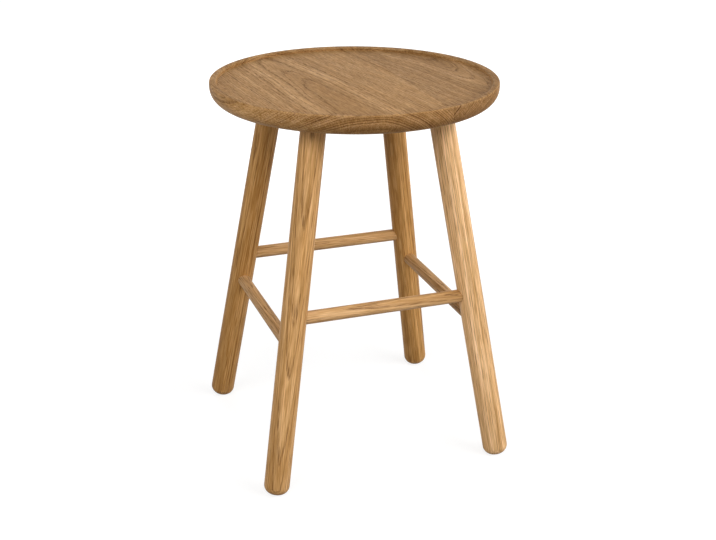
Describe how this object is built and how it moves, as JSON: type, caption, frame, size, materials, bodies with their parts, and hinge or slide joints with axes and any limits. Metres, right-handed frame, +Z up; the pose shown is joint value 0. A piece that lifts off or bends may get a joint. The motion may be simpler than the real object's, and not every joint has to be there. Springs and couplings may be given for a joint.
{
  "type": "stool",
  "caption": "Round oak stool with a shallow dished seat and raised rim on splayed round legs, braced by plain dowel stretchers at staggered heights; a free-standing seat.",
  "frame": {"origin": "on the floor, under the middle of the seat", "axes": "+Z up; +X to the right and +Y to the back, as the picture's front is read; the seat's grain runs along Y"},
  "size_m": [0.35, 0.35, 0.474],
  "materials": {
    "seat_oak": "oiled oak, satin, grain from front to back",
    "leg_oak": "oiled oak, satin, grain along the leg",
    "stretcher_oak": "oiled oak, satin, grain along the dowel",
    "wedge_oak": "sawn oak, bare"
  },
  "bodies": {
    "root": {"seat_board_left": "seat_oak", "seat_board_middle": "seat_oak", "seat_board_right": "seat_oak", "leg_front_left": "leg_oak", "leg_front_right": "leg_oak", "leg_back_left": "leg_oak", "leg_back_right": "leg_oak", "stretcher_front": "stretcher_oak", "stretcher_back": "stretcher_oak", "stretcher_left": "stretcher_oak", "stretcher_right": "stretcher_oak", "tenon_wedge_front_left": "wedge_oak", "tenon_wedge_front_right": "wedge_oak", "tenon_wedge_back_left": "wedge_oak", "tenon_wedge_back_right": "wedge_oak"}
  },
  "joints": []
}
